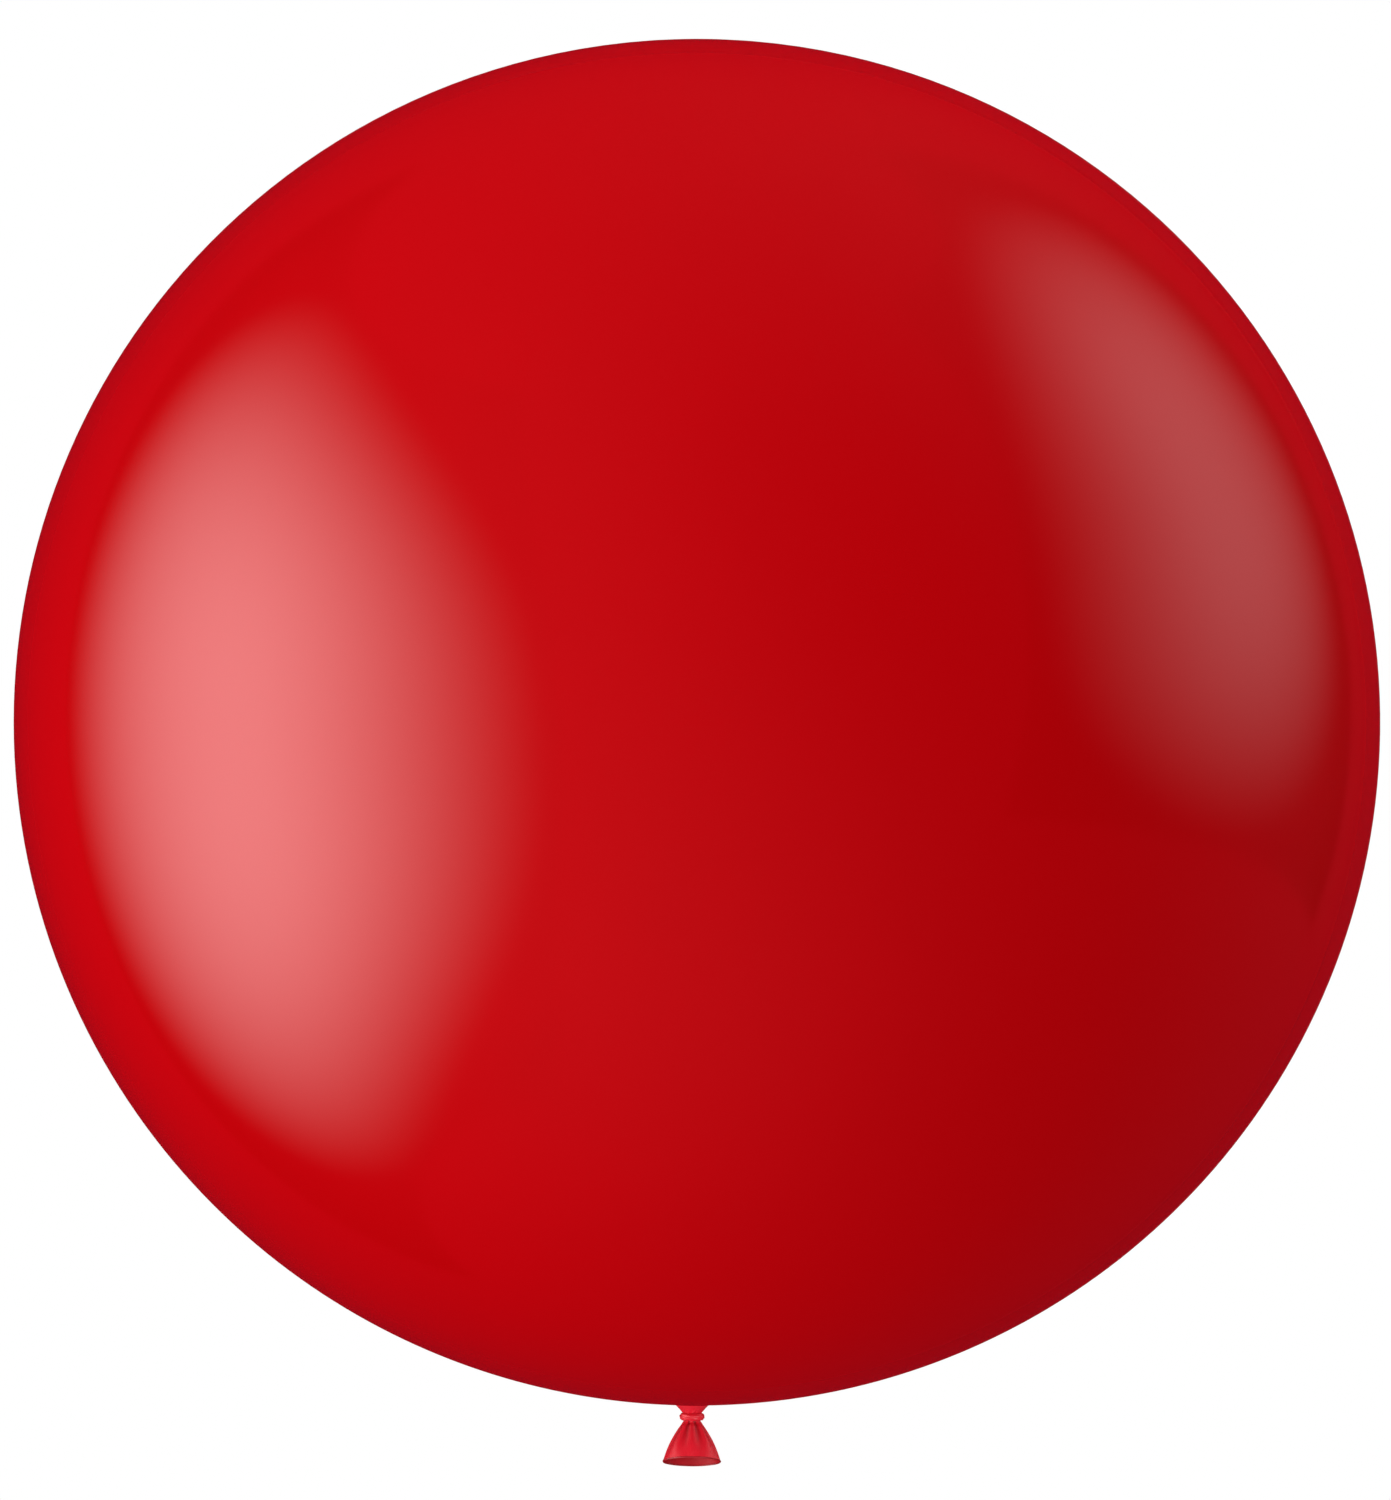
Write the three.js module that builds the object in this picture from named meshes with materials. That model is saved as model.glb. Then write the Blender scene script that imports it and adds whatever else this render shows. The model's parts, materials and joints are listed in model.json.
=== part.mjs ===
// A large round latex balloon, blown up and closed with a knot in its own neck.
// Millimetres, +Z up. The origin is on the axis in the groove above the knot, where a ribbon is tied.
// The ball stands above the origin, and the knot and the open tail hang below it.
import * as THREE from 'three';

// The ball
const ballDiameter = 780;
const filmWall = 0.02;            // latex stretched over the ball
const skinWall = 0.3;             // latex of the neck and the tail, which isn't stretched
const wallFade = 60;              // way up the ball over which the wall thins to film

// The neck between the ball and the knot
const neckLength = 4.6;           // from the tie groove up to the bottom of the ball
const neckRootDiameter = 19.2;    // where the neck leaves the ball
const tieGrooveDiameter = 11.8;
const tieGrooveHeight = 0.5;
const gatherHeight = 2.6;         // pleats gathered inside the neck, above the groove

// The knot
const knotDiameter = 14;
const knotHeight = 3.4;
const strandDiameter = 6.2;       // the gathered neck where it passes through its own loop

// The tail below the knot
const lowerGrooveDiameter = 10.5;
const tailLength = 23.3;          // from the lower groove to the lip
const throatLength = 4.4;         // gathered top of the tail, where it bends
const mouthDiameter = 32.7;       // over the rolled lip
const tailBell = 0.085;           // how far the tail swells out from a plain cone, as a share of its flare
const lipThickness = 1.4;
const tailLean = 12.6 * Math.PI / 180;

// Between neighbouring stretches of the skin
const seatGap = 0.3;

// Facets
const ballSegments = 48;
const neckSegments = 36;
const lipSegments = 48;
const lowerBallSteps = 13;
const upperBallSteps = 12;
const flareSteps = 6;
const sectionSteps = 14;

// Levels along the axis, worked out from the sizes above
const ballRadius = ballDiameter / 2;
const ballCentreZ = neckLength + ballRadius;
const knotTopZ = -tieGrooveHeight / 2 - seatGap;
const knotBottomZ = knotTopZ - knotHeight;
const lowerGrooveZ = knotBottomZ - 2 * seatGap;
const funnelTopZ = neckLength - seatGap;
const gatherShoulderZ = 2 * seatGap;
const funnelBottomZ = gatherShoulderZ + seatGap;

const latexOf = (color, roughness) => new THREE.MeshStandardMaterial({ color, roughness, metalness: 0 });
const stretchedLatex = latexOf(0xb30714, 0.28);
const softLatex = latexOf(0xc81626, 0.42);

// Revolves an outline of [radius, height] points, listed upwards on the outside, about +Z.
function turned(outline, segments) {
  const points = outline.map(([radius, height]) => new THREE.Vector2(radius, height));
  const geometry = new THREE.LatheGeometry(points, segments);
  geometry.rotateX(Math.PI / 2);
  return geometry;
}

function named(name, geometry, material) {
  const mesh = new THREE.Mesh(geometry, material);
  mesh.name = name;
  return mesh;
}

// A wall behind an outer outline: up the outside, down the inside, and back to the start.
function walled(outer, wall) {
  const inner = outer.map(([radius, height]) => [radius - wall, height]).reverse();
  return [...outer, ...inner, outer[0]];
}

// Evenly spread values from one end to the other, both included.
function spread(from, to, steps) {
  return Array.from({ length: steps + 1 }, (_, i) => from + (to - from) * i / steps);
}

// Radius of the neck at a height above the tie groove: a funnel that opens into the ball.
function neckRadiusAt(height) {
  const flare = (neckRootDiameter - tieGrooveDiameter) / 2;
  return tieGrooveDiameter / 2 + flare * (height / neckLength) ** 1.5;
}

// Radius of the tail at a depth below the lower groove: a cone with a slight bell.
function tailRadiusAt(depth) {
  const share = depth / tailLength;
  const flare = (mouthDiameter - lowerGrooveDiameter) / 2;
  return lowerGrooveDiameter / 2 + flare * (share + tailBell * Math.sin(Math.PI * share));
}

// The inflated ball, a film of latex that thickens towards the hole where the neck begins.
function bulb() {
  const holeAngle = Math.asin(neckRootDiameter / ballDiameter);
  const lower = spread(0, 1, lowerBallSteps).map(share =>
    holeAngle + (Math.PI / 2 - holeAngle) * share ** 1.4);
  const upper = spread(Math.PI / 2, Math.PI, upperBallSteps).slice(1);
  const angles = [...lower, ...upper];
  const wallAt = angle => {
    const thick = Math.max(0, 1 - ballRadius * (angle - holeAngle) / wallFade);
    return filmWall + (skinWall - filmWall) * thick ** 2;
  };
  const onBall = (angle, radius) => {
    const outward = angle === Math.PI ? 0 : radius * Math.sin(angle);
    return [outward, ballCentreZ - radius * Math.cos(angle)];
  };
  const outside = angles.map(angle => onBall(angle, ballRadius));
  const inside = angles.map(angle => onBall(angle, ballRadius - wallAt(angle))).reverse();
  return named('bulb', turned([...outside, ...inside, outside[0]], ballSegments), stretchedLatex);
}

// The short funnel that carries the ball down to the groove.
function neckFunnel() {
  const heights = spread(funnelBottomZ, funnelTopZ, flareSteps);
  const outer = heights.map(height => [neckRadiusAt(height), height]);
  return named('neck_funnel', turned(walled(outer, skinWall), neckSegments), softLatex);
}

// Pleated latex pulled together in the groove, closing the neck.
function neckWaist() {
  const insideRadius = neckRadiusAt(gatherShoulderZ) - skinWall - seatGap;
  const outline = [
    [0, -tieGrooveHeight / 2],
    [tieGrooveDiameter / 2, -tieGrooveHeight / 2],
    [neckRadiusAt(gatherShoulderZ / 2), gatherShoulderZ / 2],
    [neckRadiusAt(gatherShoulderZ), gatherShoulderZ],
    [insideRadius, gatherShoulderZ],
    [insideRadius * 0.95, gatherHeight * 0.55],
    [insideRadius * 0.7, gatherHeight * 0.85],
    [0, gatherHeight],
  ];
  return named('neck_waist', turned(outline, neckSegments), softLatex);
}

// The loop of the overhand knot, pulled tight into one round wrap.
function knotLoop() {
  const innerRadius = strandDiameter / 2 + seatGap;
  const middleRadius = (knotDiameter / 2 + innerRadius) / 2;
  const halfWidth = knotDiameter / 2 - middleRadius;
  const middleZ = (knotTopZ + knotBottomZ) / 2;
  const outline = spread(0, 2 * Math.PI, sectionSteps).map(turn => [
    middleRadius + halfWidth * Math.cos(turn),
    middleZ + knotHeight / 2 * Math.sin(turn),
  ]);
  return named('knot_loop', turned(outline, neckSegments), softLatex);
}

// The strand of gathered neck that runs through the loop.
function knotCore() {
  const endRadius = strandDiameter / 2 - seatGap;
  const shoulder = knotHeight / 6;
  const outline = [
    [0, knotBottomZ],
    [endRadius, knotBottomZ],
    [strandDiameter / 2, knotBottomZ + shoulder],
    [strandDiameter / 2, knotTopZ - shoulder],
    [endRadius, knotTopZ],
    [0, knotTopZ],
  ];
  return named('knot_core', turned(outline, neckSegments), softLatex);
}

// Leans each level about the lower groove, from upright at the top to the tail's lean at the bottom.
function leaned(geometry, depthOfFullLean) {
  const position = geometry.attributes.position;
  const point = new THREE.Vector3();
  const across = new THREE.Vector3(1, 0, 0);
  for (let i = 0; i < position.count; i += 1) {
    point.fromBufferAttribute(position, i);
    const share = THREE.MathUtils.smoothstep(-point.z, 0, depthOfFullLean);
    point.applyAxisAngle(across, -tailLean * share);
    position.setXYZ(i, point.x, point.y, point.z);
  }
  return geometry;
}

// The gathered throat under the knot, where the tail bends. Its own zero is in the lower groove.
function tailWaist() {
  const depths = spread(throatLength, -seatGap, flareSteps);
  const side = depths.map(depth => [tailRadiusAt(Math.max(depth, 0)), -depth]);
  const outline = [[0, -throatLength + seatGap], [strandDiameter / 2, -throatLength], ...side, [0, seatGap]];
  return named('tail_waist', leaned(turned(outline, neckSegments), throatLength), softLatex);
}

// The open tail, a flared skirt of loose latex.
function tailSkirt() {
  const depths = spread(tailLength - lipThickness - seatGap, throatLength + seatGap, 2 * flareSteps);
  const outer = depths.map(depth => [tailRadiusAt(depth), -depth]);
  return named('tail_skirt', turned(walled(outer, skinWall), neckSegments), softLatex);
}

// The rolled lip around the mouth.
function mouthBead() {
  const ringRadius = (mouthDiameter - lipThickness) / 2;
  const ringZ = -tailLength + lipThickness / 2;
  const outline = spread(0, 2 * Math.PI, sectionSteps - 4).map(turn => [
    ringRadius + lipThickness / 2 * Math.cos(turn),
    ringZ + lipThickness / 2 * Math.sin(turn),
  ]);
  return named('mouth_bead', turned(outline, lipSegments), softLatex);
}

// The knot, with the tail hanging from its lower groove.
function knotAndTail() {
  const leaningTail = new THREE.Group();
  leaningTail.rotation.x = -tailLean;
  leaningTail.add(tailSkirt(), mouthBead());

  const tail = new THREE.Group();
  tail.position.z = lowerGrooveZ;
  tail.add(tailWaist(), leaningTail);

  const knot = new THREE.Group();
  knot.add(knotLoop(), knotCore(), tail);
  return knot;
}

const balloon = new THREE.Group();
balloon.add(bulb(), neckFunnel(), neckWaist(), knotAndTail());

export default balloon;
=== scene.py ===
import bpy
import bmesh
import json
import math
import random
from mathutils import Matrix, Vector


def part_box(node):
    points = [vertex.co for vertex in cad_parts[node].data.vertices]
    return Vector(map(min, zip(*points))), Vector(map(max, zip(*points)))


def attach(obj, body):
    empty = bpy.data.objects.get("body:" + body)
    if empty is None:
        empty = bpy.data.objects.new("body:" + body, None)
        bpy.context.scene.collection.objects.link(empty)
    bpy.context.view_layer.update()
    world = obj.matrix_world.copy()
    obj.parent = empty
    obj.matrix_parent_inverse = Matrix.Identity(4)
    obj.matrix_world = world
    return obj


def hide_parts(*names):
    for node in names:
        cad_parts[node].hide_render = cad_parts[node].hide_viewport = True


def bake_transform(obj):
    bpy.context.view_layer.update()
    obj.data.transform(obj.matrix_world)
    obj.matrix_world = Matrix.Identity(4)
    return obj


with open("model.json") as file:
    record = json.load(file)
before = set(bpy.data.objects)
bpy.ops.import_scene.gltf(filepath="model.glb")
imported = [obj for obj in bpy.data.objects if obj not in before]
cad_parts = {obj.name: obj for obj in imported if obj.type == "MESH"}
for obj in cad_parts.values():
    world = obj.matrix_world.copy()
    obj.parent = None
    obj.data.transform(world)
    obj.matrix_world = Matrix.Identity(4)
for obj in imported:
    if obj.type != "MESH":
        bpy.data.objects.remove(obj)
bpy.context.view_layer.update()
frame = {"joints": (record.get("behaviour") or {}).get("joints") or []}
print("frame loaded")

# sizes that every piece is built around, all read from the frame
ballLow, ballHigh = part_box("bulb")
ballRadius = (ballHigh.x - ballLow.x) / 2
ballCentre = Vector((0, 0, ballHigh.z - ballRadius))
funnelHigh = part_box("neck_funnel")[1]
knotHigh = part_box("knot_loop")[1]
strandLow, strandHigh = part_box("knot_core")
lipLow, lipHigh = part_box("mouth_bead")
joints = {joint["name"]: joint for joint in frame["joints"]}
tailPivot = Vector(joints["tail_swing_side"]["pos_m"])
tailAcross = joints["tail_swing_side"]["axis"]
tailLean = math.atan2(-tailAcross[2], tailAcross[1])

# a long lens level with the ball, rolled a touch so the knot hangs off centre
cameraLook = {"distance": 6.0, "farthest": 60, "lens": 251.8, "sensor": 36.0,
              "below": 0.01583, "left": -0.0007, "rollDegrees": 0.40}


def placeCamera(look):
    data = bpy.data.cameras.new("studioCamera")
    data.lens = look["lens"]
    data.sensor_width = look["sensor"]
    data.clip_end = look["farthest"]
    camera = bpy.data.objects.new("studioCamera", data)
    bpy.context.scene.collection.objects.link(camera)
    aim = ballCentre + Vector((look["left"], 0, -look["below"]))
    camera.location = aim + Vector((0, -look["distance"], 0))
    levelView = Matrix.Rotation(math.pi / 2, 4, "X")
    roll = Matrix.Rotation(math.radians(look["rollDegrees"]), 4, "Z")
    camera.rotation_euler = (levelView @ roll).to_euler()
    bpy.context.scene.camera = camera


placeCamera(cameraLook)
print("camera placed")


def linked(name, mesh):
    piece = bpy.data.objects.new(name, mesh)
    bpy.context.scene.collection.objects.link(piece)
    return piece


sharpDegrees = 50  # edges bent further than this are shaded sharp


# skins a list of rings in order, the way a dipped former builds up a wall; a lone point closes an end
def skinOver(name, rings, closeLoop=False):
    shape = bmesh.new()
    rows = [[shape.verts.new(point) for point in ring] for ring in rings]
    if closeLoop:
        rows.append(rows[0])
    for upper, lower in zip(rows, rows[1:]):
        count = max(len(upper), len(lower))
        for i in range(count):
            after = (i + 1) % count
            if len(upper) == 1:
                corners = (upper[0], lower[after], lower[i])
            elif len(lower) == 1:
                corners = (upper[i], upper[after], lower[0])
            else:
                corners = (upper[i], upper[after], lower[after], lower[i])
            shape.faces.new(corners)
    bmesh.ops.recalc_face_normals(shape, faces=shape.faces)
    mesh = bpy.data.meshes.new(name)
    shape.to_mesh(mesh)
    shape.free()
    mesh.shade_smooth()
    mesh.set_sharp_from_angle(angle=math.radians(sharpDegrees))
    return linked(name, mesh)


# the grain of the latex is read from where each point lies at rest, so it stays put when the tail swings
def keepRestPlace(piece):
    places = piece.data.attributes.new("restPlace", "FLOAT_VECTOR", "POINT")
    flat = [value for vertex in piece.data.vertices for value in vertex.co]
    places.data.foreach_set("vector", flat)


def finished(piece, material, materialSlot, *cadNodes):
    keepRestPlace(piece)
    piece.data.materials.append(material)
    # the ball mirrors the lights and the room only, never its own tail
    piece.visible_glossy = False
    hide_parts(*cadNodes)
    return piece


# painted shade: how dark each point is drawn for lying down in a fold, kept on the mesh for the colour
def keepFoldShade(piece, depthAt):
    foldShades = piece.data.attributes.new("foldShade", "FLOAT", "POINT")
    foldShades.data.foreach_set("value", [depthAt(vertex.co) for vertex in piece.data.vertices])


# the inner side of a wall, which starts at the given row of faces, takes a second material
def lineInside(piece, material, firstRow, around):
    piece.data.materials.append(material)
    for face in piece.data.polygons[firstRow * around:]:
        face.material_index = 1


def turnsOf(count):
    return [2 * math.pi * i / count for i in range(count)]


def levelsBetween(top, bottom, steps):
    return [top + (bottom - top) * i / steps for i in range(steps + 1)]


def levelRing(radius, z, turns):
    return [Vector((radius * math.cos(turn), radius * math.sin(turn), z)) for turn in turns]


def smooth(value, low, high):
    share = min(1, max(0, (value - low) / (high - low)))
    return share * share * (3 - 2 * share)


# uneven pleats round gathered latex: a few neighbouring pleat counts beat against each other
pleatMix = {"faintest": 0.35, "strongest": 1.0, "evenness": 0.6}


def pleatMaker(count, spreadOfCounts, seed):
    chance = random.Random(seed)
    waves = []
    for n in range(count - spreadOfCounts, count + spreadOfCounts + 1):
        size = chance.uniform(pleatMix["faintest"], pleatMix["strongest"])
        waves.append((n, size, chance.uniform(0, 2 * math.pi)))
    total = sum(size for n, size, start in waves) * pleatMix["evenness"]
    return lambda turn: sum(size * math.cos(n * turn + start) for n, size, start in waves) / total


# one line per node: its inputs by name or number, and its settings
def addNode(tree, kind, inputs=None, **settings):
    node = tree.nodes.new(kind)
    for name, value in settings.items():
        setattr(node, name, value)
    for name, value in (inputs or {}).items():
        if isinstance(value, bpy.types.NodeSocket):
            tree.links.new(value, node.inputs[name])
        else:
            node.inputs[name].default_value = value
    return node


def mixColour(tree, share, first, second, blend="MIX"):
    mix = addNode(tree, "ShaderNodeMix", data_type="RGBA", blend_type=blend)
    for socket, value in ((mix.inputs[0], share), (mix.inputs[6], first), (mix.inputs[7], second)):
        if isinstance(value, bpy.types.NodeSocket):
            tree.links.new(value, socket)
        else:
            socket.default_value = value
    return mix.outputs[2]


def maths(tree, operation, *values):
    node = addNode(tree, "ShaderNodeMath", dict(enumerate(values)), operation=operation)
    return node.outputs[0]


def newGroup(name, inputs, outputs):
    group = bpy.data.node_groups.new(name, "ShaderNodeTree")
    for label, kind, value in inputs:
        group.interface.new_socket(label, in_out="INPUT", socket_type=kind).default_value = value
    for label, kind in outputs:
        group.interface.new_socket(label, in_out="OUTPUT", socket_type=kind)
    return group, group.nodes.new("NodeGroupInput").outputs, group.nodes.new("NodeGroupOutput").inputs


# colour of the latex: thin where stretched, thick where slack, with soft clouds and fine pigment flecks
def buildLatexTone():
    group, given, out = newGroup("latexTone", [
        ("Place", "NodeSocketVector", (0, 0, 0)),
        ("Thin Colour", "NodeSocketColor", (0.5, 0, 0, 1)),
        ("Thick Colour", "NodeSocketColor", (0.6, 0, 0, 1)),
        ("Fleck Colour", "NodeSocketColor", (0.7, 0.1, 0.1, 1)),
        ("Cloud Scale", "NodeSocketFloat", 6.0),
        ("Cloud Strength", "NodeSocketFloat", 0.3),
        ("Fleck Scale", "NodeSocketFloat", 900.0),
        ("Fleck Strength", "NodeSocketFloat", 0.1),
    ], [("Colour", "NodeSocketColor")])
    clouds = addNode(group, "ShaderNodeTexNoise", {
        "Vector": given["Place"], "Scale": given["Cloud Scale"], "Detail": 3.0, "Roughness": 0.55})
    cloudy = maths(group, "MULTIPLY", clouds.outputs["Fac"], given["Cloud Strength"])
    wall = mixColour(group, cloudy, given["Thin Colour"], given["Thick Colour"])
    flecks = addNode(group, "ShaderNodeTexNoise", {
        "Vector": given["Place"], "Scale": given["Fleck Scale"], "Detail": 2.0})
    bright = addNode(group, "ShaderNodeMapRange", {
        "Value": flecks.outputs["Fac"], "From Min": 0.58, "From Max": 0.75},
        interpolation_type="SMOOTHSTEP")
    fleckShare = maths(group, "MULTIPLY", bright.outputs["Result"], given["Fleck Strength"])
    group.links.new(mixColour(group, fleckShare, wall, given["Fleck Colour"]), out["Colour"])
    return group


# surface of the latex: orange peel from the dip tank, drawn out along the stretch, and tiny pits
def buildLatexSkin():
    group, given, out = newGroup("latexSkin", [
        ("Place", "NodeSocketVector", (0, 0, 0)),
        ("Peel Scale", "NodeSocketFloat", 140.0),
        ("Peel Height", "NodeSocketFloat", 0.5),
        ("Draw Out", "NodeSocketFloat", 0.35),
        ("Pit Scale", "NodeSocketFloat", 700.0),
        ("Pit Height", "NodeSocketFloat", 0.4),
        ("Gloss", "NodeSocketFloat", 0.25),
        ("Gloss Change", "NodeSocketFloat", 0.06),
    ], [("Height", "NodeSocketFloat"), ("Roughness", "NodeSocketFloat")])
    stretch = addNode(group, "ShaderNodeCombineXYZ", {"X": 1.0, "Y": 1.0, "Z": given["Draw Out"]})
    drawn = addNode(group, "ShaderNodeVectorMath", {
        0: given["Place"], 1: stretch.outputs[0]}, operation="MULTIPLY")
    peel = addNode(group, "ShaderNodeTexNoise", {
        "Vector": drawn.outputs[0], "Scale": given["Peel Scale"], "Detail": 2.0, "Roughness": 0.5})
    pits = addNode(group, "ShaderNodeTexVoronoi", {
        "Vector": given["Place"], "Scale": given["Pit Scale"]}, feature="SMOOTH_F1")
    rim = addNode(group, "ShaderNodeMapRange", {
        "Value": pits.outputs["Distance"], "From Max": 0.35}, interpolation_type="SMOOTHSTEP")
    peelHeight = maths(group, "MULTIPLY", peel.outputs["Fac"], given["Peel Height"])
    pitHeight = maths(group, "MULTIPLY", rim.outputs["Result"], given["Pit Height"])
    group.links.new(maths(group, "ADD", peelHeight, pitHeight), out["Height"])
    # the gloss drifts over patches a dozen times as broad as the peel
    patchScale = maths(group, "MULTIPLY", given["Peel Scale"], 0.08)
    uneven = addNode(group, "ShaderNodeTexNoise", {
        "Vector": given["Place"], "Scale": patchScale, "Detail": 4.0})
    swing = maths(group, "SUBTRACT", uneven.outputs["Fac"], 0.5)
    change = maths(group, "MULTIPLY", swing, given["Gloss Change"])
    group.links.new(maths(group, "ADD", given["Gloss"], change), out["Roughness"])
    return group


# mould powder left on slack latex: fine specks that gather in drifts
def buildMouldPowder():
    group, given, out = newGroup("mouldPowder", [
        ("Place", "NodeSocketVector", (0, 0, 0)),
        ("Speck Scale", "NodeSocketFloat", 1500.0),
        ("Amount", "NodeSocketFloat", 0.1),
    ], [("Mask", "NodeSocketFloat")])
    specks = addNode(group, "ShaderNodeTexVoronoi", {
        "Vector": given["Place"], "Scale": given["Speck Scale"]})
    dots = addNode(group, "ShaderNodeMapRange", {
        "Value": specks.outputs["Distance"], "From Min": 0.32, "From Max": 0.12},
        interpolation_type="SMOOTHSTEP")
    driftScale = maths(group, "MULTIPLY", given["Speck Scale"], 0.06)
    drifts = addNode(group, "ShaderNodeTexNoise", {
        "Vector": given["Place"], "Scale": driftScale, "Detail": 3.0})
    where = addNode(group, "ShaderNodeMapRange", {
        "Value": drifts.outputs["Fac"], "From Min": 0.45, "From Max": 0.7},
        interpolation_type="SMOOTHSTEP")
    powder = maths(group, "MULTIPLY", dots.outputs["Result"], where.outputs["Result"])
    group.links.new(maths(group, "MULTIPLY", powder, given["Amount"]), out["Mask"])
    return group


latexTone = buildLatexTone()
latexSkin = buildLatexSkin()
mouldPowder = buildMouldPowder()
latexIor = 1.5


def latexOf(name, look):
    material = bpy.data.materials.new(name)
    material.use_nodes = True
    tree = material.node_tree
    shader = tree.nodes["Principled BSDF"]
    place = addNode(tree, "ShaderNodeAttribute", attribute_name="restPlace").outputs["Vector"]
    tone = addNode(tree, "ShaderNodeGroup", node_tree=latexTone)
    skin = addNode(tree, "ShaderNodeGroup", node_tree=latexSkin)
    powder = addNode(tree, "ShaderNodeGroup", node_tree=mouldPowder)
    for node, values in ((tone, look["tone"]), (skin, look["skin"]), (powder, look["powder"])):
        tree.links.new(place, node.inputs["Place"])
        for label, value in values.items():
            node.inputs[label].default_value = value
    # painted shade: the latex colour is darkened down in the fold valleys, where shade falls
    foldShade = addNode(tree, "ShaderNodeAttribute", attribute_name="foldShade").outputs["Fac"]
    foldShaded = mixColour(tree, foldShade, tone.outputs["Colour"], look["foldShadeColour"])
    dusty = mixColour(tree, powder.outputs["Mask"], foldShaded, look["powderColour"])
    bump = addNode(tree, "ShaderNodeBump", {
        "Height": skin.outputs["Height"], "Strength": look["bumpStrength"], "Distance": look["bumpDepth"]})
    tree.links.new(dusty, shader.inputs["Base Color"])
    tree.links.new(skin.outputs["Roughness"], shader.inputs["Roughness"])
    tree.links.new(bump.outputs["Normal"], shader.inputs["Normal"])
    shader.inputs["IOR"].default_value = latexIor
    shader.inputs["Specular IOR Level"].default_value = look["specular"]
    shader.inputs["Coat Weight"].default_value = look["coat"]
    shader.inputs["Coat Roughness"].default_value = look["coatRoughness"]
    print("material", name)
    return material


# blown-up latex: stretched thin, clear and glossy
ballLatex = latexOf("ballLatex", {
    "tone": {"Thin Colour": (0.56, 0.0006, 0.003, 1), "Thick Colour": (0.5, 0.0004, 0.002, 1),
             "Fleck Colour": (0.6, 0.01, 0.015, 1), "Cloud Scale": 5.0, "Cloud Strength": 0.25,
             "Fleck Scale": 1100.0, "Fleck Strength": 0.12},
    "skin": {"Peel Scale": 90.0, "Peel Height": 0.5, "Draw Out": 0.6,
             "Pit Scale": 900.0, "Pit Height": 0.15, "Gloss": 0.09, "Gloss Change": 0.02},
    "powder": {"Speck Scale": 900.0, "Amount": 0.01},
    # the fold colour below is painted shade; the ball has no folds, so it shows nowhere on it
    "powderColour": (0.8, 0.25, 0.25, 1), "foldShadeColour": (0.2, 0.0, 0.001, 1),
    "bumpStrength": 0.015, "bumpDepth": 0.0006,
    "specular": 0.5, "coat": 0.12, "coatRoughness": 0.12,
})

# slack latex: thick and nearly matt, with some powder left on it; its tone is drawn far paler than the
# ball's as painted light, standing in for the light the tail catches
slackLatexLook = {
    "tone": {"Thin Colour": (0.86, 0.014, 0.035, 1), "Thick Colour": (0.74, 0.006, 0.02, 1),
             "Fleck Colour": (0.8, 0.04, 0.06, 1), "Cloud Scale": 110.0, "Cloud Strength": 0.6,
             "Fleck Scale": 2500.0, "Fleck Strength": 0.25},
    "skin": {"Peel Scale": 900.0, "Peel Height": 0.5, "Draw Out": 0.3,
             "Pit Scale": 3200.0, "Pit Height": 0.3, "Gloss": 0.42, "Gloss Change": 0.12},
    "powder": {"Speck Scale": 2600.0, "Amount": 0.25},
    # the fold colour below is painted shade for the fold valleys
    "powderColour": (0.85, 0.42, 0.42, 1), "foldShadeColour": (0.3, 0.001, 0.004, 1),
    "bumpStrength": 0.25, "bumpDepth": 0.00012,
    "specular": 0.5, "coat": 0.1, "coatRoughness": 0.3,
}


def slackLatex(name, **changes):
    look = {**slackLatexLook, **changes}
    return latexOf(name, look)


neckLatex = slackLatex("neckLatex")
knotLatex = slackLatex("knotLatex", coat=0.25)
tailLatex = slackLatex("tailLatex")
lipLatex = slackLatex("lipLatex", coat=0.05, tone={
    **slackLatexLook["tone"],
    "Thin Colour": (0.42, 0.004, 0.012, 1), "Thick Colour": (0.36, 0.003, 0.01, 1)})
insideLatex = slackLatex("insideLatex", coat=0.0, specular=0.2, tone={
    **slackLatexLook["tone"],
    "Thin Colour": (0.5, 0.006, 0.014, 1), "Thick Colour": (0.44, 0.004, 0.011, 1)})

# the neck: a funnel that opens into the ball, with a groove above the knot
neckShape = {
    "grooveRadius": 0.0054, "grooveLevel": -0.0003, "rootExtra": 0.0004, "flarePower": 1.1, "wall": 0.0003,
    "pleats": 17, "pleatSpread": 4, "pleatSeed": 7, "pleatDepth": 0.0002, "pleatRise": 1.4, "twist": 0.5,
    "bendFrom": 0.0040, "seam": 0.0018, "tuckDepth": 0.0012, "tuckRadius": 0.0045,
    "overlap": 0.0004, "slip": 0.00012, "around": 240, "funnelRows": 18, "gatherRows": 34,
}
neckTop = funnelHigh.z
neckPleats = pleatMaker(neckShape["pleats"], neckShape["pleatSpread"], neckShape["pleatSeed"])


def neckRadius(height):
    shape = neckShape
    above = height - shape["grooveLevel"]
    if above >= 0:
        flare = funnelHigh.x + shape["rootExtra"] - shape["grooveRadius"]
        share = above / (neckTop - shape["grooveLevel"])
        return shape["grooveRadius"] + flare * share ** shape["flarePower"]
    inward = smooth(-above, 0, shape["tuckDepth"])
    return shape["grooveRadius"] + (shape["tuckRadius"] - shape["grooveRadius"]) * inward


def neckRing(height, inset=0.0):
    shape = neckShape
    gather = 1 - smooth(height, 0, shape["bendFrom"])
    points = []
    for turn in turnsOf(shape["around"]):
        wave = neckPleats(turn + shape["twist"] * gather) * shape["pleatDepth"]
        radius = neckRadius(height) + wave * gather ** shape["pleatRise"] - inset
        points.append(Vector((radius * math.cos(turn), radius * math.sin(turn), height)))
    return points


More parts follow.
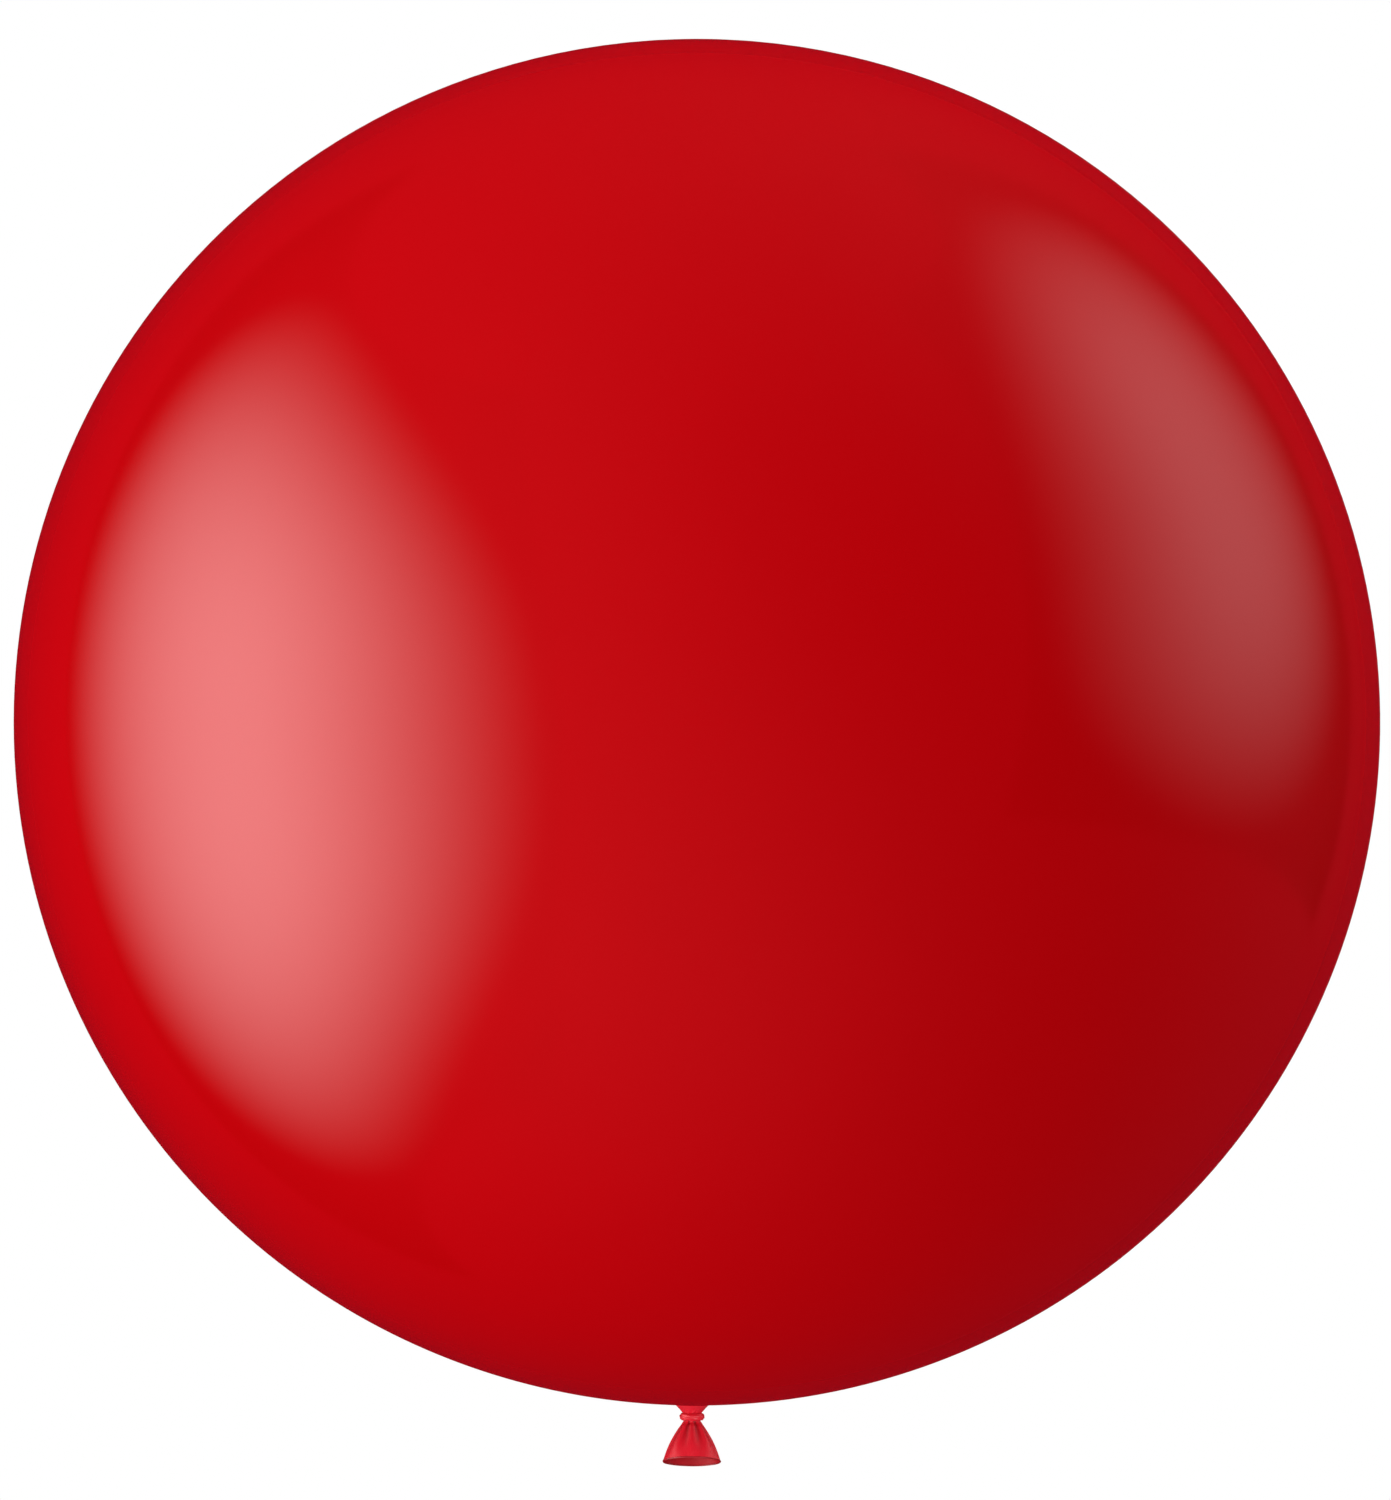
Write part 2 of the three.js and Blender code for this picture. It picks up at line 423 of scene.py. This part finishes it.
# a wall between two levels of the neck: down the outside, up the inside
# above the level given as under, it slips in behind the piece over it
def neckWall(name, top, bottom, rows, under=None):
    levels = levelsBetween(top, bottom, rows)
    slips = [0 if under is None else neckShape["slip"] * smooth(level, under, top) for level in levels]
    outside = [neckRing(level, slip) for level, slip in zip(levels, slips)]
    inside = [neckRing(level, neckShape["wall"]) for level in reversed(levels)]
    return skinOver(name, outside + inside, closeLoop=True)


funnelTop = neckShape["bendFrom"] + neckShape["overlap"]
funnelPiece = neckWall("neckFunnel", funnelTop, neckShape["seam"], neckShape["funnelRows"])
finished(funnelPiece, neckLatex, "soft_latex", "neck_funnel")
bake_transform(funnelPiece)

# the gather reaches up a little way inside the funnel, so the two never part
gatherTop = neckShape["seam"] + neckShape["overlap"]
gatherEnd = neckShape["grooveLevel"] - neckShape["tuckDepth"]
gatherPiece = neckWall("neckGather", gatherTop, gatherEnd, neckShape["gatherRows"], under=neckShape["seam"])
finished(gatherPiece, neckLatex, "soft_latex", "neck_waist")
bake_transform(gatherPiece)
print("neck made")

# the ball: a sphere whose skin turns down into the neck over a small fillet
ballShape = {
    "filletReach": 0.0013, "filletEase": 0.0006, "slopeOver": 0.0002, "wall": 0.0003,
    "around": 240, "filletSteps": 10, "ringsUp": 130, "ringsInside": 60, "crowding": 1.7,
}


def ballRing(angle, radius):
    z = ballCentre.z - radius * math.cos(angle)
    return levelRing(radius * math.sin(angle), z, turnsOf(ballShape["around"]))


def makeBall(shape):
    startZ = neckShape["bendFrom"] + neckShape["overlap"] / 2
    start = Vector((neckRadius(startZ), startZ))
    holeRadius = start.x + shape["filletEase"] + shape["filletReach"]
    holeAngle = math.asin(holeRadius / ballRadius)
    end = Vector((holeRadius, ballCentre.z - ballRadius * math.cos(holeAngle)))
    slope = Vector((neckRadius(startZ) - neckRadius(startZ - shape["slopeOver"]), shape["slopeOver"]))
    corner = start + slope * ((end.y - start.y) / slope.y)
    rings = []
    for i in range(shape["filletSteps"]):
        t = i / shape["filletSteps"]
        x, z = (1 - t) ** 2 * start + 2 * t * (1 - t) * corner + t ** 2 * end
        rings.append(levelRing(x, z, turnsOf(shape["around"])))
    span = math.pi - holeAngle
    crown = ballCentre.z + ballRadius
    for i in range(shape["ringsUp"]):
        share = i / shape["ringsUp"]
        crowded = (share ** shape["crowding"] + share) / 2  # closer together near the neck
        rings.append(ballRing(holeAngle + span * crowded, ballRadius))
    rings.append([Vector((0, 0, crown))])
    inner = ballRadius - shape["wall"]
    rings.append([Vector((0, 0, crown - shape["wall"]))])
    for i in range(1, shape["ringsInside"] + 1):
        rings.append(ballRing(math.pi - span * i / shape["ringsInside"], inner))
    return rings


ballRings = makeBall(ballShape)
apex = next(i for i, ring in enumerate(ballRings) if len(ring) == 1)
outerBall, innerBall = ballRings[:apex + 1], ballRings[apex + 1:]
ballPiece = skinOver("balloonBall", list(reversed(innerBall)) + outerBall)
finished(ballPiece, ballLatex, "stretched_latex", "bulb")
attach(ballPiece, "ball")
print("ball made")

# the knot: one wrap of the gathered neck, its two ends tucked across each other at the back
knotShape = {
    "along": 220, "round": 64, "level": -0.00248, "height": 0.0043, "fuller": 0.00015,
    "topFullness": 2.2, "bottomFullness": 2.0,
    "overlap": 0.62, "tuckFrom": 0.78, "riseFrom": 0.68,
    "endRise": 0.0011, "endRadius": 0.0030, "endSize": 0.7,
    "ridges": 9, "ridgeSpread": 3, "ridgeSeed": 11, "ridgeDepth": 0.00013, "ridgeTwist": 1.6,
}


def knotSection(angle, shape):
    power = shape["topFullness"] if math.sin(angle) > 0 else shape["bottomFullness"]
    across, up = math.cos(angle), math.sin(angle)
    swell = (abs(across) ** power + abs(up) ** power) ** (-1 / power)
    return across * swell, up * swell


def makeKnot(shape):
    ridge = pleatMaker(shape["ridges"], shape["ridgeSpread"], shape["ridgeSeed"])
    outerRadius = knotHigh.x + shape["fuller"]
    innerRadius = strandHigh.x
    middle = (outerRadius + innerRadius) / 2
    halfWide = outerRadius - middle
    halfHigh = shape["height"] / 2
    rings = []
    for i in range(shape["along"] + 1):
        t = 2 * i / shape["along"] - 1
        tuck = smooth(abs(t), shape["tuckFrom"], 1)
        turn = -math.pi / 2 + t * (math.pi + shape["overlap"])
        ringRadius = middle + (shape["endRadius"] - middle) * tuck
        lift = shape["level"] + math.copysign(shape["endRise"], t) * smooth(abs(t), shape["riseFrom"], 1)
        size = 1 + (shape["endSize"] - 1) * tuck
        ring = []
        for angle in turnsOf(shape["round"]):
            across, up = knotSection(angle, shape)
            depth = 1 + ridge(angle + shape["ridgeTwist"] * t) * shape["ridgeDepth"] / halfWide
            out = ringRadius + across * halfWide * size * depth
            z = lift + up * halfHigh * size * depth
            ring.append(Vector((out * math.cos(turn), out * math.sin(turn), z)))
        rings.append(ring)
    first, last = (sum(ring, Vector()) / len(ring) for ring in (rings[0], rings[-1]))
    return skinOver("knotWrap", [[first]] + rings + [[last]])


knotPiece = finished(makeKnot(knotShape), knotLatex, "soft_latex", "knot_loop")
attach(knotPiece, "knot")

# the strand that runs through the wrap, hidden but for its ends
strandShape = {"around": 72, "levels": 24, "beyond": 0.0004, "twist": 1.2,
               "pleats": 8, "pleatSpread": 3, "pleatSeed": 5, "pleatDepth": 0.00018}


def makeStrand(shape):
    pleats = pleatMaker(shape["pleats"], shape["pleatSpread"], shape["pleatSeed"])
    top, bottom = strandHigh.z + shape["beyond"], strandLow.z - shape["beyond"]
    rings = [[Vector((0, 0, top))]]
    for i in range(shape["levels"] + 1):
        share = i / shape["levels"]
        z = top + (bottom - top) * share
        ring = []
        for turn in turnsOf(shape["around"]):
            radius = strandHigh.x - 2 * shape["pleatDepth"]
            radius += pleats(turn + shape["twist"] * share) * shape["pleatDepth"]
            ring.append(Vector((radius * math.cos(turn), radius * math.sin(turn), z)))
        rings.append(ring)
    rings.append([Vector((0, 0, bottom))])
    return skinOver("knotStrand", rings)


strandPiece = finished(makeStrand(strandShape), knotLatex, "soft_latex", "knot_core")
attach(strandPiece, "knot")
print("knot made")

# the tail: a slack skirt with broad folds that die out towards the lip, and fine pleats at the throat
tailShape = {
    "throatRadius": 0.0048, "straight": 0.0004, "bell": 0.12, "wall": 0.0003,
    "longer": 0.0011, "wider": 0.0004, "pastLip": 0.0007,
    "folds": 8, "foldDepth": 0.10, "foldBias": 0.9, "foldFade": 0.8, "foldReach": 1.02,
    "pleats": 26, "pleatSpread": 6, "pleatSeed": 23, "pleatDepth": 0.00018, "pleatFade": 0.006,
    "twist": 0.4, "twistFade": 0.004,
    "leanBy": 0.0044, "seam": 0.0048, "bendEnd": 0.0110, "tuck": 0.0011, "tuckRadius": 0.0040,
    "ripples": 5, "rippleSpread": 3, "rippleSeed": 31, "ripple": 0.0002, "rippleFrom": 0.5,
    "closedAt": 0.0032, "pinch": 0.0006, "closingSteps": 4,
    "around": 288, "throatRows": 40, "throatInsideRows": 14, "outsideRows": 80,
}
lipRingRadius = (lipHigh.x - lipLow.x) / 2 + tailShape["wider"]
lipDepth = (tailPivot.z - (lipLow.z + lipHigh.z) / 2) / math.cos(tailLean) + tailShape["longer"]
tailDepth = lipDepth + tailShape["pastLip"]
tailPleats = pleatMaker(tailShape["pleats"], tailShape["pleatSpread"], tailShape["pleatSeed"])
lipRipple = pleatMaker(tailShape["ripples"], tailShape["rippleSpread"], tailShape["rippleSeed"])


# the tail leans forward, and takes up its lean over the first few millimetres of the throat
def leaned(point, depth):
    share = smooth(depth, 0, tailShape["leanBy"])
    return tailPivot + Matrix.Rotation(-tailLean * share, 3, "X") @ point


def tailRadius(depth):
    shape = tailShape
    if depth < 0:
        inward = smooth(-depth, 0, shape["tuck"])
        return shape["throatRadius"] + (shape["tuckRadius"] - shape["throatRadius"]) * inward
    share = max(0, depth - shape["straight"]) / (tailDepth - shape["straight"])
    flare = lipRingRadius - shape["throatRadius"]
    return shape["throatRadius"] + flare * (share + shape["bell"] * math.sin(math.pi * share))


def tailRing(depth, inset=0.0):
    shape = tailShape
    below = max(depth, 0)
    foldLeft = 1 - smooth(below, 0, tailDepth * shape["foldReach"])
    foldSize = shape["foldDepth"] * foldLeft ** shape["foldFade"]
    pleatSize = shape["pleatDepth"] * math.exp(-below / shape["pleatFade"])
    twist = shape["twist"] * math.exp(-below / shape["twistFade"])
    slack = shape["ripple"] * smooth(below, tailDepth * shape["rippleFrom"], tailDepth)
    ring = []
    for turn in turnsOf(shape["around"]):
        front = turn + math.pi / 2
        fold = math.cos(shape["folds"] * front)
        radius = tailRadius(depth) * (1 + foldSize * (fold - shape["foldBias"]))
        radius += tailPleats(turn + twist) * pleatSize + lipRipple(turn) * slack - inset
        ring.append(leaned(Vector((radius * math.cos(turn), radius * math.sin(turn), -depth)), depth))
    return ring


# the throat runs from the knot down to the seam, and is pinched shut a little way up inside
def makeThroat(shape):
    outsideDepths = levelsBetween(-shape["tuck"], shape["seam"], shape["throatRows"])
    insideDepths = levelsBetween(shape["seam"], shape["closedAt"], shape["throatInsideRows"])
    outside = [tailRing(depth) for depth in outsideDepths]
    inside = [tailRing(depth, shape["wall"]) for depth in insideDepths]
    top = leaned(Vector((0, 0, shape["tuck"])), -shape["tuck"])
    pinchDepth = shape["closedAt"] - shape["pinch"]
    pinch = leaned(Vector((0, 0, -pinchDepth)), pinchDepth)
    closing = []
    for i in range(1, shape["closingSteps"]):
        share = 1 - i / shape["closingSteps"]
        narrowed = tailRing(shape["closedAt"] - shape["pinch"] * (1 - share), shape["wall"])
        closing.append([pinch + (point - pinch) * share for point in narrowed])
    return skinOver("tailThroat", [[top]] + outside + inside + closing + [[pinch]])


throatPiece = finished(makeThroat(tailShape), tailLatex, "soft_latex", "tail_waist")
lineInside(throatPiece, insideLatex, tailShape["throatRows"] + 1, tailShape["around"])

# painted shade: the latex is drawn darker down in the fold valleys, where shade falls, most of all close
# under the knot
foldShadeLook = {"strength": 0.75, "fadeFrom": 0.002, "fadeEnd": 0.019, "shoulder": -0.4, "bottom": 0.9}


def tailFoldShade(place):
    look = foldShadeLook
    upright = Matrix.Rotation(tailLean, 3, "X") @ (place - tailPivot)
    depth = max(0, -upright.z)
    fold = math.cos(tailShape["folds"] * (math.atan2(upright.y, upright.x) + math.pi / 2))
    valley = smooth(-fold, look["shoulder"], look["bottom"])
    return look["strength"] * valley * (1 - smooth(depth, look["fadeFrom"], look["fadeEnd"]))


keepFoldShade(throatPiece, tailFoldShade)
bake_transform(throatPiece)


def makeSkirt(shape):
    levels = levelsBetween(shape["seam"], lipDepth, shape["outsideRows"])
    outside = [tailRing(depth) for depth in levels]
    inside = [tailRing(depth, shape["wall"]) for depth in reversed(levels)]
    return skinOver("tailSkirt", outside + inside, closeLoop=True)


skirtPiece = finished(makeSkirt(tailShape), tailLatex, "soft_latex", "tail_skirt")
lineInside(skirtPiece, insideLatex, tailShape["outsideRows"], tailShape["around"])
keepFoldShade(skirtPiece, tailFoldShade)
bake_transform(skirtPiece)

# the lip: the edge of the latex rolled up on itself
lipShape = {"around": 288, "round": 28, "thickness": 0.0009, "ridges": 3, "ridgeDepth": 0.05,
            "swells": 9, "swellSpread": 5, "swellSeed": 43, "uneven": 0.06}


def makeLip(shape):
    swell = pleatMaker(shape["swells"], shape["swellSpread"], shape["swellSeed"])
    rings = []
    for turn in turnsOf(shape["around"]):
        size = shape["thickness"] / 2 * (1 + shape["uneven"] * swell(turn))
        ringRadius = lipRingRadius - shape["thickness"] / 2 + lipRipple(turn) * tailShape["ripple"]
        ring = []
        for angle in turnsOf(shape["round"]):
            rolled = size * (1 + shape["ridgeDepth"] * math.cos(shape["ridges"] * angle + turn))
            out = ringRadius + rolled * math.cos(angle)
            depth = lipDepth - rolled * math.sin(angle)
            ring.append(leaned(Vector((out * math.cos(turn), out * math.sin(turn), -depth)), lipDepth))
        rings.append(ring)
    return skinOver("rolledLip", rings, closeLoop=True)


lipPiece = finished(makeLip(lipShape), lipLatex, "soft_latex", "mouth_bead")
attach(lipPiece, "tail")
print("tail made")

# a pale floor well below the tail
floorLook = {
    "below": 0.33, "radius": 2.4, "fadeFrom": 1.2, "rings": 24, "around": 96,
    "colour": (0.9, 0.9, 0.9, 1), "grainColour": (0.7, 0.7, 0.7, 1), "grainScale": 60.0, "grain": 0.04,
    "roughness": 0.8,
}


def makeFloor(look):
    z = lipLow.z - look["below"]
    rings = [[Vector((0, 0, z))]]
    for i in range(1, look["rings"] + 1):
        rings.append(levelRing(look["radius"] * i / look["rings"], z, turnsOf(look["around"])))
    floor = skinOver("studioFloor", rings)
    paint = bpy.data.materials.new("studioFloorPaint")
    paint.use_nodes = True
    tree = paint.node_tree
    shader = tree.nodes["Principled BSDF"]
    grain = addNode(tree, "ShaderNodeTexNoise", {"Scale": look["grainScale"], "Detail": 4.0})
    speckled = maths(tree, "MULTIPLY", grain.outputs["Fac"], look["grain"])
    tone = mixColour(tree, speckled, look["colour"], look["grainColour"])
    tree.links.new(tone, shader.inputs["Base Color"])
    shader.inputs["Roughness"].default_value = look["roughness"]
    # it thins out towards its edge and can't be seen from below
    outward = addNode(tree, "ShaderNodeVectorMath", {
        0: addNode(tree, "ShaderNodeTexCoord").outputs["Object"], 1: (1, 1, 0)}, operation="MULTIPLY")
    reach = addNode(tree, "ShaderNodeVectorMath", {0: outward.outputs[0]}, operation="LENGTH")
    fade = addNode(tree, "ShaderNodeMapRange", {
        "Value": reach.outputs["Value"], "From Min": look["radius"], "From Max": look["fadeFrom"]},
        interpolation_type="SMOOTHSTEP")
    under = addNode(tree, "ShaderNodeNewGeometry").outputs["Backfacing"]
    seen = maths(tree, "MULTIPLY", fade.outputs["Result"], maths(tree, "SUBTRACT", 1.0, under))
    tree.links.new(seen, shader.inputs["Alpha"])
    if floor.data.polygons[0].normal.z < 0:
        floor.data.flip_normals()
    floor.data.materials.append(paint)
    floor.visible_glossy = False
    floor.visible_diffuse = False


makeFloor(floorLook)

# soft light panels: curved sheets of light that fade towards their edges, seen only as reflections
panelSteps = 24
panelLooks = {
    "keyPanel": {"azimuth": -73, "elevation": -3, "halfWide": 52, "up": 53, "down": 56,
                 "lean": -2, "curl": -17, "strength": 4.1, "distance": 3.2, "tint": (1, 0.99, 0.985)},
    "sidePanel": {"azimuth": 98, "elevation": 25, "halfWide": 42, "up": 38, "down": 38,
                  "lean": 6, "curl": 0, "strength": 0.84, "distance": 3.2, "tint": (1, 1, 1)},
}


def directionOf(azimuth, elevation):
    a, e = math.radians(azimuth), math.radians(elevation)
    return Vector((math.cos(e) * math.sin(a), -math.cos(e) * math.cos(a), math.sin(e)))


def buildPanelFade():
    group, given, out = newGroup("panelFade", [
        ("Across", "NodeSocketFloat", 0.0),
        ("Up", "NodeSocketFloat", 0.0),
        ("Tint", "NodeSocketColor", (1, 1, 1, 1)),
    ], [("Colour", "NodeSocketColor")])
    outward = maths(group, "POWER", maths(group, "ABSOLUTE", given["Across"]), 2.0)
    upward = maths(group, "POWER", maths(group, "ABSOLUTE", given["Up"]), 3.0)
    reach = maths(group, "SQRT", maths(group, "ADD", outward, upward))
    glow = addNode(group, "ShaderNodeMapRange", {
        "Value": reach, "From Min": 1.0, "From Max": 0.0}, interpolation_type="SMOOTHSTEP")
    faded = mixColour(group, glow.outputs["Result"], (0, 0, 0, 1), given["Tint"])
    group.links.new(faded, out["Colour"])
    return group


panelFade = buildPanelFade()


def lightPanel(name, look):
    shape = bmesh.new()
    grid = []
    spread = []
    for up in levelsBetween(-1, 1, panelSteps):
        reach = look["up"] if up > 0 else look["down"]
        row = []
        for across in levelsBetween(-1, 1, panelSteps):
            azimuth = look["azimuth"] + across * look["halfWide"]
            azimuth += look["lean"] * up + look["curl"] * up * up
            toward = directionOf(azimuth, look["elevation"] + up * reach)
            row.append(shape.verts.new(ballCentre + toward * look["distance"]))
            spread += [across, up, 0]
        grid.append(row)
    for lower, upper in zip(grid, grid[1:]):
        for i in range(panelSteps):
            shape.faces.new((lower[i], lower[i + 1], upper[i + 1], upper[i]))
    mesh = bpy.data.meshes.new(name)
    shape.to_mesh(mesh)
    shape.free()
    places = mesh.attributes.new("panelPlace", "FLOAT_VECTOR", "POINT")
    places.data.foreach_set("vector", spread)
    panel = linked(name, mesh)
    paint = bpy.data.materials.new(name + "Glow")
    paint.use_nodes = True
    tree = paint.node_tree
    tree.nodes.clear()
    place = addNode(tree, "ShaderNodeAttribute", attribute_name="panelPlace")
    parts = addNode(tree, "ShaderNodeSeparateXYZ", {0: place.outputs["Vector"]})
    fade = addNode(tree, "ShaderNodeGroup", node_tree=panelFade)
    tree.links.new(parts.outputs["X"], fade.inputs["Across"])
    tree.links.new(parts.outputs["Y"], fade.inputs["Up"])
    fade.inputs["Tint"].default_value = (*look["tint"], 1)
    glow = addNode(tree, "ShaderNodeEmission", {
        "Color": fade.outputs["Colour"], "Strength": look["strength"]})
    output = addNode(tree, "ShaderNodeOutputMaterial")
    tree.links.new(glow.outputs[0], output.inputs["Surface"])
    panel.data.materials.append(paint)
    paint.cycles.emission_sampling = "NONE"
    panel.visible_camera = False
    panel.visible_diffuse = False
    panel.visible_shadow = False


for panelName, panelLook in panelLooks.items():
    lightPanel(panelName, panelLook)

# a soft lamp level with the tail, which brightens only its slack latex
tailLampLook = {"azimuth": 40, "elevation": 5, "distance": 0.8, "size": 0.35, "power": 2.2}


def makeTailLamp(look, lit):
    data = bpy.data.lights.new("tailLamp", "AREA")
    data.shape = "DISK"
    data.size = look["size"]
    data.energy = look["power"]
    lamp = bpy.data.objects.new("tailLamp", data)
    bpy.context.scene.collection.objects.link(lamp)
    toward = directionOf(look["azimuth"], look["elevation"])
    lamp.location = Vector((0, 0, lipLow.z / 2)) + toward * look["distance"]
    lamp.rotation_euler = toward.to_track_quat("Z", "Y").to_euler()
    lamp.visible_camera = False
    receivers = bpy.data.collections.new("tailLit")
    for piece in lit:
        receivers.objects.link(piece)
    lamp.light_linking.receiver_collection = receivers


slackPieces = [funnelPiece, gatherPiece, knotPiece, strandPiece, throatPiece, skirtPiece, lipPiece]
makeTailLamp(tailLampLook, slackPieces)

# the room: white to the camera, a dim red in reflections, with broad soft fills that only shape the colour
roomLook = {"seen": (1, 1, 1, 1), "reflected": (0.27, 0.004, 0.01, 1), "spread": 2.0}
fillLooks = {
    "left": {"azimuth": -80, "elevation": 0, "strength": 0.68},
    "front": {"azimuth": -28, "elevation": -35, "strength": 1.48},
    "upperLeft": {"azimuth": -60, "elevation": 45, "strength": 1.03},
    "behind": {"azimuth": 140, "elevation": 30, "strength": 2.75},
}


def makeRoom(look, fills):
    world = bpy.data.worlds.new("studioRoom")
    bpy.context.scene.world = world
    world.use_nodes = True
    world.cycles.sampling_method = "NONE"
    tree = world.node_tree
    back = tree.nodes["Background"]
    toward = addNode(tree, "ShaderNodeTexCoord").outputs["Generated"]
    path = addNode(tree, "ShaderNodeLightPath")
    filled = 0.0
    for fill in fills.values():
        aim = addNode(tree, "ShaderNodeVectorMath", {
            0: toward, 1: directionOf(fill["azimuth"], fill["elevation"])}, operation="DOT_PRODUCT")
        lobe = maths(tree, "POWER", maths(tree, "MAXIMUM", aim.outputs["Value"], 0.0), look["spread"])
        filled = maths(tree, "ADD", maths(tree, "MULTIPLY", lobe, fill["strength"]), filled)
    shiny = mixColour(tree, path.outputs["Is Glossy Ray"], look["seen"], look["reflected"])
    level = mixColour(tree, path.outputs["Is Diffuse Ray"], (1, 1, 1, 1), filled)
    tree.links.new(mixColour(tree, 1.0, shiny, level, blend="MULTIPLY"), back.inputs["Color"])


makeRoom(roomLook, fillLooks)
view = bpy.context.scene.view_settings
view.view_transform = "Standard"
view.look = "None"
print("studio lit")
